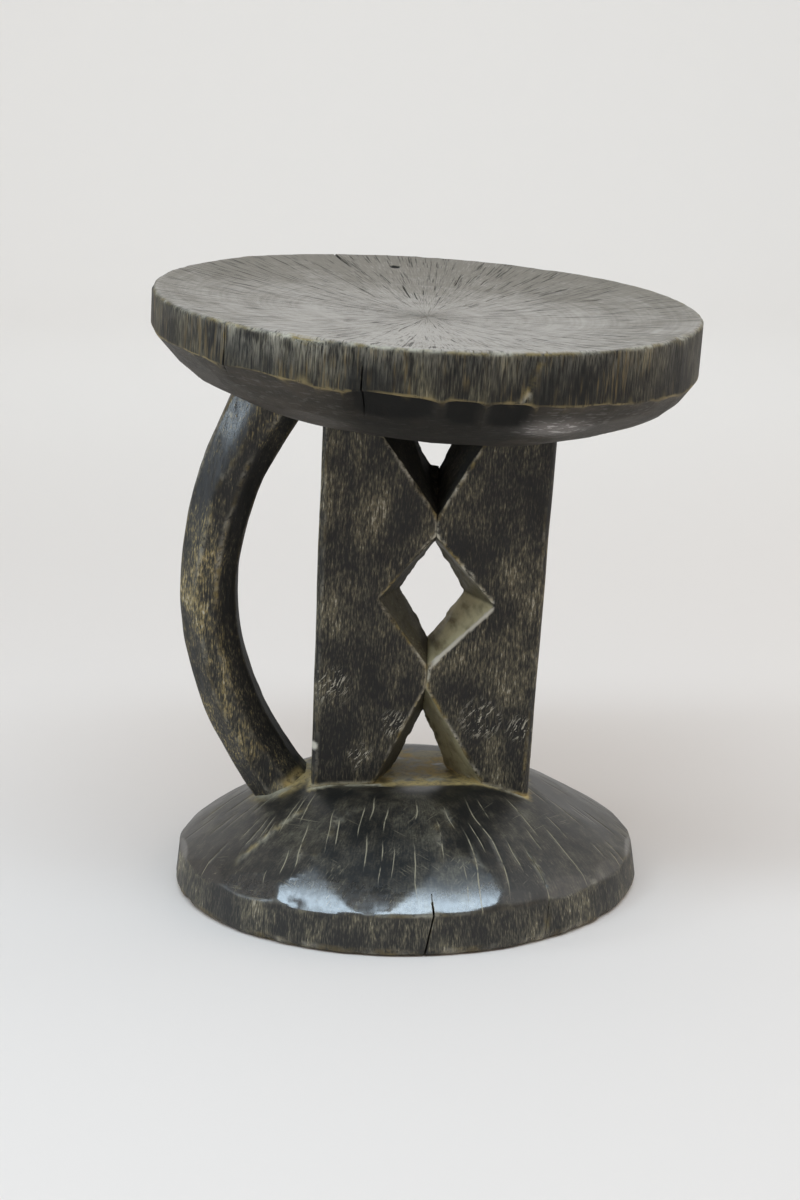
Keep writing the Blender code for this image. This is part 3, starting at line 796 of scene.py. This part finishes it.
class Finish:
    """A wood finish: one material, with short calls for the nodes that these finishes share."""

    def __init__(self, name):
        self.material = bpy.data.materials.new(name)
        self.material.use_nodes = True
        self.tree = self.material.node_tree
        self.shader = self.tree.nodes["Principled BSDF"]
        self.place = self.node("ShaderNodeTexCoord").outputs["Object"]

    def node(self, kind, inputs=None, **settings):
        made = self.tree.nodes.new(kind)
        for name, value in settings.items():
            setattr(made, name, value)
        for key, value in (inputs or {}).items():
            if isinstance(value, bpy.types.NodeSocket):
                self.tree.links.new(value, made.inputs[key])
            else:
                made.inputs[key].default_value = value
        return made

    def mask(self, name):
        return self.node("ShaderNodeAttribute", attribute_name=name).outputs["Fac"]

    def maths(self, operation, first, second=0.0):
        return self.node("ShaderNodeMath", {0: first, 1: second}, operation=operation).outputs[0]

    def vector(self, operation, first, second=(0.0, 0.0, 0.0)):
        return self.node("ShaderNodeVectorMath", {0: first, 1: second}, operation=operation).outputs[0]

    def noise(self, scale, detail=2.0, roughness=0.55, vector=None):
        """Noise at so many features a metre along each axis."""
        spread = self.vector("MULTIPLY", vector or self.place, scale)
        made = self.node(
            "ShaderNodeTexNoise", {"Vector": spread, "Scale": 1.0, "Detail": detail, "Roughness": roughness}
        )
        return made.outputs[0]

    def rise(self, value, low, high):
        made = self.node(
            "ShaderNodeMapRange",
            {"Value": value, "From Min": low, "From Max": high},
            interpolation_type="SMOOTHSTEP",
        )
        return made.outputs["Result"]

    def mix(self, share, first, second):
        made = self.node("ShaderNodeMix", data_type="RGBA")
        for key, value in ((0, share), (6, first), (7, second)):
            if isinstance(value, bpy.types.NodeSocket):
                self.tree.links.new(value, made.inputs[key])
            elif key:
                made.inputs[key].default_value = (*value, 1.0)
            else:
                made.inputs[key].default_value = value
        return made.outputs[2]

    def blend(self, share, first, second):
        made = self.node("ShaderNodeMix", {0: share, 2: first, 3: second}, data_type="FLOAT")
        return made.outputs[0]

    def bump(self, height, distance, strength, under=None):
        inputs = {"Height": height, "Distance": distance, "Strength": strength}
        if under:
            inputs["Normal"] = under
        return self.node("ShaderNodeBump", inputs).outputs["Normal"]

    def wire(self, colour, roughness, normal):
        self.tree.links.new(colour, self.shader.inputs["Base Color"])
        self.tree.links.new(roughness, self.shader.inputs["Roughness"])
        self.tree.links.new(normal, self.shader.inputs["Normal"])
        return self.material

    def ramp(self, value, *stops):
        """Colour that runs through the stops, each a place and a colour."""
        made = self.node("ShaderNodeValToRGB", {"Fac": value})
        band = made.color_ramp
        band.elements[0].position = stops[0][0]
        band.elements[1].position = stops[-1][0]
        for place, _colour in stops[1:-1]:
            band.elements.new(place)
        for element, (_place, colour) in zip(band.elements, stops):
            element.color = (*colour, 1.0)
        return made.outputs["Color"]

    def side_grain(self, lift, flecks, rub, contrast=1.0):
        """Dark weathered surface over upright grain, rubbed through in short flecks: colour and height."""
        fleck = self.noise(flecks, 3.0, 0.6)
        streak = self.noise((480, 480, 62), 3.0)
        patch = self.noise((34, 34, 24), 4.0, 0.6)
        tone = self.maths("MULTIPLY_ADD", fleck, 0.58 * contrast)
        tone.node.inputs[2].default_value = lift - 0.25 + 0.42 * (1 - contrast)
        tone = self.maths("ADD", tone, self.maths("MULTIPLY", streak, 0.26 * contrast))
        tone = self.maths("ADD", tone, self.maths("MULTIPLY", patch, 0.66))
        # Paler in patches on the boards; on the handle, painted light on the facets that face the front.
        tone = self.maths("ADD", tone, self.maths("MULTIPLY", self.mask("faded_and_lit"), 0.12))
        colour = self.ramp(tone, (0.42, SOOT_AND_SHADE_BLACK), (0.50, BARK_BROWN), (0.57, OLIVE), (0.66, rub), (0.78, PALE_RUB))
        height = self.maths("ADD", streak, self.maths("MULTIPLY", fleck, 0.6))
        return colour, height

    def reach(self):
        """Distance from the upright axis through the middle."""
        flat = self.vector("MULTIPLY", self.place, (1.0, 1.0, 0.0))
        return self.node("ShaderNodeVectorMath", {0: flat}, operation="LENGTH").outputs["Value"]

    def radial(self, count, pull):
        """Coordinates for noise that is drawn out along the rays from the pith."""
        flat = self.vector("MULTIPLY", self.place, (1.0, 1.0, 0.0))
        spoke = self.vector("SCALE", self.vector("NORMALIZE", flat))
        spoke.node.inputs["Scale"].default_value = count
        out = self.node("ShaderNodeCombineXYZ", {"Z": self.maths("MULTIPLY", self.reach(), pull)}).outputs[0]
        return self.vector("ADD", spoke, out)

    def worn(self, colour, rub, strength=1.0):
        """Pale rub along the edges, broken up."""
        broken = self.maths(
            "MULTIPLY",
            self.rise(self.noise((420, 420, 420), 3.0), 0.30, 0.55),
            self.rise(self.noise((38, 38, 38), 2.0), 0.34, 0.56),
        )
        share = self.maths("MULTIPLY", self.mask("wear"), broken)
        share = self.maths("MULTIPLY", share, strength)
        rub = self.mix(self.rise(self.noise((70, 70, 70)), 0.4, 0.6), rub, PALE_RUB)
        return self.mix(share, colour, rub), share

    def dusted(self, colour):
        """Ochre dirt settled in the corners."""
        grain = self.noise((420, 420, 420), 3.0)
        share = self.maths("MULTIPLY", self.mask("dust"), self.rise(grain, 0.15, 0.52))
        share = self.maths("MULTIPLY", share, self.rise(self.noise((95, 95, 95), 3.0), 0.24, 0.56))
        tint = self.mix(self.rise(self.noise((60, 60, 60)), 0.42, 0.60), DUST_TAN, DUST_GREY)
        return self.mix(share, colour, tint), share


def dark_wood(name, lift, shine, rub, wear):
    """Pillar and handle: side grain all over."""
    wood = Finish(name)
    wood.shader.inputs["Specular IOR Level"].default_value = shine
    colour, height = wood.side_grain(lift, (1250, 1250, 260), rub, 1.3)
    slant = wood.node(
        "ShaderNodeVectorRotate", {"Vector": wood.place, "Angle": math.radians(-32)}, rotation_type="Y_AXIS"
    )
    warp = wood.node("ShaderNodeTexNoise", {"Vector": wood.place, "Scale": 90.0}).outputs["Color"]
    warp = wood.vector("MULTIPLY", warp, (0.006, 0.006, 0.012))
    scratch = wood.noise((800, 800, 95), 3.0, 0.7, vector=wood.vector("ADD", slant.outputs[0], warp))
    scratch = wood.rise(scratch, 0.54, 0.63)
    colour = wood.mix(wood.maths("MULTIPLY", scratch, wood.mask("scuff")), colour, PALE_RUB)
    # Pale tan in the window: dust, and painted light on the walls that face up.
    haze = wood.mix(wood.rise(wood.noise((130, 40, 130), 3.0), 0.42, 0.82), WINDOW_TAN, WINDOW_BROWN)
    colour = wood.mix(wood.mask("tan"), colour, haze)
    colour, worn = wood.worn(colour, OCHRE, wear)
    colour = wood.mix(wood.mask("keen"), colour, KEEN_WHITE)
    colour, dust = wood.dusted(colour)
    # Black in the cracks, and painted shade in the window's upper V, on the left board's window walls and on the
    # handle's inner facet.
    colour = wood.mix(wood.mask("crack_and_shade"), colour, CRACK_AND_SHADE_BLACK)
    rough = wood.blend(wood.rise(height, 0.6, 1.1), 0.45, 0.65)
    rough = wood.blend(wood.mask("crack_and_shade"), rough, 0.85)
    rough = wood.blend(wood.mask("polish"), rough, 0.14)
    rough = wood.blend(wood.maths("MAXIMUM", worn, dust), rough, 0.8)
    return wood.wire(colour, rough, wood.bump(height, 0.5 * MM, 0.4))


def seat_finish():
    """Grey end grain with fine dark rays on the dish, dark side grain on the wall and underside."""
    wood = Finish("seat_wood")
    wood.shader.inputs["Specular IOR Level"].default_value = 0.25
    outer_rays = wood.noise((1, 1, 1), 2.0, vector=wood.radial(125.0, 34.0))
    inner_rays = wood.noise((1, 1, 1), 2.0, vector=wood.radial(50.0, 62.0))
    rays = wood.blend(wood.rise(wood.reach(), 0.045, 0.085), inner_rays, outer_rays)
    fibre = wood.noise((1, 1, 1), 3.0, vector=wood.radial(150.0, 120.0))
    blotch = wood.noise((26, 26, 26), 3.0)
    shade = wood.maths("ADD", wood.maths("MULTIPLY", fibre, 0.8), wood.maths("MULTIPLY", blotch, 0.4))
    # Painted shade: darker towards the rear and the sides of the dish.
    shade = wood.maths("ADD", shade, wood.maths("MULTIPLY", wood.mask("painted_rear_shade"), 0.32))
    rings = wood.node("ShaderNodeCombineXYZ", {"X": wood.maths("MULTIPLY", wood.reach(), 330.0)}).outputs[0]
    rings = wood.vector("ADD", rings, wood.vector("MULTIPLY", wood.place, (14.0, 14.0, 0.0)))
    rings = wood.noise((1, 1, 1), 2.0, vector=rings)
    shade = wood.maths("ADD", shade, wood.maths("MULTIPLY", rings, 0.32))
    dish = wood.mix(wood.rise(shade, 0.62, 1.08), SEAT_GREY, SEAT_DARK)
    dish = wood.mix(wood.maths("MULTIPLY", wood.rise(wood.reach(), 0.03, 0.004), 0.45), dish, SEAT_DARK)
    broad = wood.noise((1, 1, 1), 3.0, vector=wood.radial(66.0, 34.0))
    lines = wood.maths("MULTIPLY", wood.rise(rays, 0.59, 0.65), wood.rise(blotch, 0.36, 0.54))
    lines = wood.maths("MAXIMUM", lines, wood.maths("MULTIPLY", wood.rise(broad, 0.60, 0.66), 0.85))
    dish = wood.mix(wood.maths("MULTIPLY", lines, 0.9), dish, SEAT_LINE)
    wall, height = wood.side_grain(-0.03, (1600, 1600, 160), FLECK, 0.85)
    stain = wood.rise(wood.noise((600, 600, 40), 3.0, 0.6), 0.50, 0.64)
    stain = wood.maths("MULTIPLY", stain, wood.rise(wood.noise((24, 24, 24)), 0.46, 0.58))
    wall = wood.mix(wood.maths("MULTIPLY", stain, 0.7), wall, STAIN_BROWN)
    drips = wood.rise(wood.noise((800, 800, 90), 4.0, 0.7), 0.34, 0.68)
    drips = wood.maths("MULTIPLY", drips, wood.rise(wood.noise((60, 60, 60)), 0.28, 0.60))
    wall = wood.mix(wood.maths("MULTIPLY", drips, wood.mask("drip")), wall, PALE_RUB)
    below = wood.mix(wood.rise(wood.noise((50, 50, 160), 4.0), 0.40, 0.64), BARK_BROWN, UNDER_GREY)
    # Tool marks across the underside, lighter grey in streaks: the marks are real, their lighter grey is painted sheen.
    marks = wood.rise(wood.noise((160, 160, 900), 3.0), 0.54, 0.66)
    below = wood.mix(wood.maths("MULTIPLY", marks, 0.5), below, STREAK_SHEEN_GREY)
    # Painted highlight: the sheen on the underside's right, broken by the tool marks.
    below = wood.mix(wood.maths("MULTIPLY", wood.mask("painted_sheen"), wood.rise(marks, -0.5, 0.8)), below, SHEEN_GREY)
    wall = wood.mix(wood.mask("under"), wall, below)
    # Painted shade: the scoops and the front middle of the underside go to near black.
    wall = wood.mix(wood.mask("painted_shade"), wall, SOOT_AND_SHADE_BLACK)
    line = wood.maths("MULTIPLY", wood.mask("dust"), wood.rise(wood.noise((330, 330, 330), 3.0), 0.25, 0.5))
    line = wood.maths("MULTIPLY", line, wood.rise(wood.noise((48, 48, 48)), 0.22, 0.60))
    wall = wood.mix(line, wall, EDGE_OCHRE)
    colour = wood.mix(wood.mask("end_grain"), wall, dish)
    colour, worn = wood.worn(colour, OCHRE)
    colour = wood.mix(wood.mask("crack_and_shade"), colour, CRACK_AND_SHADE_BLACK)
    flat = wood.vector("MULTIPLY", wood.place, (1.0, 1.0, 0.0))
    away = wood.node("ShaderNodeVectorMath", {0: flat, 1: NICK}, operation="DISTANCE").outputs["Value"]
    away = wood.maths("ADD", away, wood.maths("MULTIPLY", wood.noise((260, 260, 260)), 5 * MM))
    colour = wood.mix(wood.rise(away, 6.0 * MM, 4.4 * MM), colour, CRACK_AND_SHADE_BLACK)
    level = wood.maths("SUBTRACT", wood.maths("MULTIPLY", fibre, 0.6), lines)
    height = wood.blend(wood.mask("end_grain"), height, level)
    rough = wood.blend(wood.mask("under"), 0.6, 0.58)
    rough = wood.blend(wood.mask("end_grain"), rough, 0.62)
    rough = wood.blend(wood.maths("MAXIMUM", worn, wood.mask("painted_shade")), rough, 0.8)
    return wood.wire(colour, rough, wood.bump(height, 0.5 * MM, 0.4))


def foot_finish():
    """Dark polished end grain with dusty checks on the dome, side grain on the band."""
    wood = Finish("foot_wood")
    wood.shader.inputs["Specular IOR Level"].default_value = 0.6
    wood.shader.inputs["Coat Roughness"].default_value = 0.17
    wood.tree.links.new(wood.mask("polish"), wood.shader.inputs["Coat Weight"])
    fibre = wood.noise((1, 1, 1), 3.0, vector=wood.radial(110.0, 260.0))
    cloud = wood.noise((26, 26, 26), 3.0)
    mottle = wood.noise((110, 110, 110), 3.0)
    speck = wood.noise((800, 800, 800), 3.0)
    tone = wood.maths("ADD", wood.maths("MULTIPLY", fibre, 0.4), wood.maths("MULTIPLY", speck, 0.3))
    tone = wood.maths("ADD", tone, wood.maths("MULTIPLY", cloud, 0.5))
    tone = wood.maths("ADD", tone, wood.maths("MULTIPLY", mottle, 0.5))
    tone = wood.maths("SUBTRACT", tone, 0.405)
    dome = wood.ramp(tone, (0.38, SOOT_AND_SHADE_BLACK), (0.5, BARK_BROWN), (0.62, OLIVE), (0.78, ASH))
    for turn in (38, -55):
        across = wood.node(
            "ShaderNodeVectorRotate", {"Vector": wood.place, "Angle": math.radians(turn)}, rotation_type="Z_AXIS"
        )
        scratch = wood.rise(wood.noise((26, 1100, 300), 2.0, vector=across.outputs[0]), 0.62, 0.67)
        scratch = wood.maths("MULTIPLY", scratch, wood.rise(wood.noise((31, 31, 31 + turn)), 0.54, 0.64))
        dome = wood.mix(wood.maths("MULTIPLY", scratch, 0.28), dome, CHECK_DUST)
    band, height = wood.side_grain(0.0, (1700, 1700, 120), FLECK, 1.3)
    colour = wood.mix(wood.mask("end_grain"), band, dome)
    colour, worn = wood.worn(colour, OCHRE, 0.4)
    colour, dust = wood.dusted(colour)
    broken = wood.rise(wood.noise((130, 130, 130)), 0.30, 0.48)
    filled = wood.maths("MULTIPLY", wood.mask("check"), broken)
    colour = wood.mix(filled, colour, CHECK_DUST)
    colour = wood.mix(wood.mask("crack_and_shade"), colour, CRACK_AND_SHADE_BLACK)
    height = wood.blend(wood.mask("end_grain"), height, wood.maths("MULTIPLY", tone, 0.8))
    rough = wood.blend(wood.rise(cloud, 0.4, 0.7), 0.36, 0.48)
    rough = wood.blend(wood.mask("end_grain"), 0.6, rough)
    buffed = wood.blend(wood.rise(wood.noise((330, 330, 330), 3.0), 0.36, 0.66), 0.12, 0.24)
    rough = wood.blend(wood.mask("polish"), rough, buffed)
    rough = wood.blend(wood.maths("MAXIMUM", wood.maths("MAXIMUM", worn, dust), filled), rough, 0.8)
    height = wood.maths("MULTIPLY", height, wood.blend(wood.mask("polish"), 1.0, 0.4))
    normal = wood.bump(height, 0.4 * MM, 0.25)
    wood.tree.links.new(normal, wood.shader.inputs["Coat Normal"])
    return wood.wire(colour, rough, normal)


# Studio

FLOOR_RADIUS = 2.4
FLOOR_SWEEP = 0.9
FLOOR_WALL = 2.4


def make_floor():
    """A round pale floor that sweeps up into a wall on every side."""
    turn = np.linspace(0, math.pi / 2, 14)
    radius = np.concatenate([[0.4, 0.9, 1.6, 2.0], FLOOR_RADIUS + FLOOR_SWEEP * np.sin(turn)])
    height = np.concatenate([np.zeros(4), FLOOR_SWEEP * (1 - np.cos(turn))])
    radius = np.append(radius, FLOOR_RADIUS + FLOOR_SWEEP)
    height = np.append(height, FLOOR_WALL)
    angle = np.arange(96) / 96 * TAU
    ring = np.stack([np.cos(angle), np.sin(angle), 0 * angle], axis=-1)
    grid = radius[:, None, None] * ring + height[:, None, None] * np.array((0, 0, 1.0))
    rings, count, _ = grid.shape
    faces = [
        (i * count + j, (i + 1) * count + j, (i + 1) * count + (j + 1) % count, i * count + (j + 1) % count)
        for i in range(rings - 1)
        for j in range(count)
    ]
    mesh = bpy.data.meshes.new("studio_floor")
    mesh.from_pydata(grid.reshape(-1, 3).tolist(), [], faces + [tuple(range(count))])
    mesh.shade_smooth()
    paint = bpy.data.materials.new("studio_paint")
    paint.use_nodes = True
    paint.node_tree.nodes["Principled BSDF"].inputs["Base Color"].default_value = (0.80, 0.735, 0.688, 1)
    paint.node_tree.nodes["Principled BSDF"].inputs["Roughness"].default_value = 0.9
    mesh.materials.append(paint)
    floor = bpy.data.objects.new("studio_floor", mesh)
    bpy.context.scene.collection.objects.link(floor)


def add_softbox(name, place, aim, width, height, power, colour):
    lamp = bpy.data.lights.new(name, "AREA")
    lamp.shape = "RECTANGLE"
    lamp.size = width
    lamp.size_y = height
    lamp.energy = power
    lamp.color = colour
    holder = bpy.data.objects.new(name, lamp)
    holder.location = place
    holder.rotation_euler = (Vector(aim) - Vector(place)).to_track_quat("-Z", "Y").to_euler()
    holder.visible_camera = False
    bpy.context.scene.collection.objects.link(holder)


def make_light():
    world = bpy.data.worlds.new("studio_air")
    world.use_nodes = True
    world.node_tree.nodes["Background"].inputs["Color"].default_value = (1.0, 0.985, 0.955, 1)
    world.node_tree.nodes["Background"].inputs["Strength"].default_value = 0.52
    bpy.context.scene.world = world
    add_softbox("window", (-0.20, -0.60, 1.45), (-0.20, -0.12, 0.03), 1.90, 0.33, 16.5, (0.68, 0.85, 1.0))
    add_softbox("left_panel", (-1.5, -0.29, 0.58), (0, 0, 0.2), 0.5, 0.5, 5, (0.72, 0.87, 1.0))
    add_softbox("right_panel", (1.45, 0.1, 1.0), (0, 0, 0.2), 1.7, 1.4, 6.5, (1.0, 0.98, 0.95))
    add_softbox("backdrop_lamp", (0, 1.5, 1.9), (0, 3.2, 0.4), 2.6, 0.6, 27.5, (0.71, 0.88, 1.0))


def make_camera():
    camera = bpy.data.cameras.new("camera")
    camera.lens = 76.14
    camera.sensor_width = 36
    holder = bpy.data.objects.new("camera", camera)
    holder.location = (-0.0029, -1.383, 0.505)
    holder.rotation_euler = (math.radians(90 - 13.95), 0, 0)
    bpy.context.scene.collection.objects.link(holder)
    bpy.context.scene.camera = holder


make_seat(seat_finish())
make_foot(foot_finish())
make_board("left_board", "left_upright", dark_wood("left_board_wood", -0.055, 0.4, FLECK, 1.5), 61, LEFT_SCUFFS, 0.2)
make_board("right_board", "right_upright", dark_wood("right_board_wood", -0.05, 0.4, FLECK, 1.5), 71, RIGHT_SCUFFS, 1.0)
make_handle(dark_wood("handle_wood", -0.055, 0.45, OCHRE, 0.9))
make_floor()
make_light()
make_camera()
bpy.context.scene.view_settings.view_transform = "Standard"
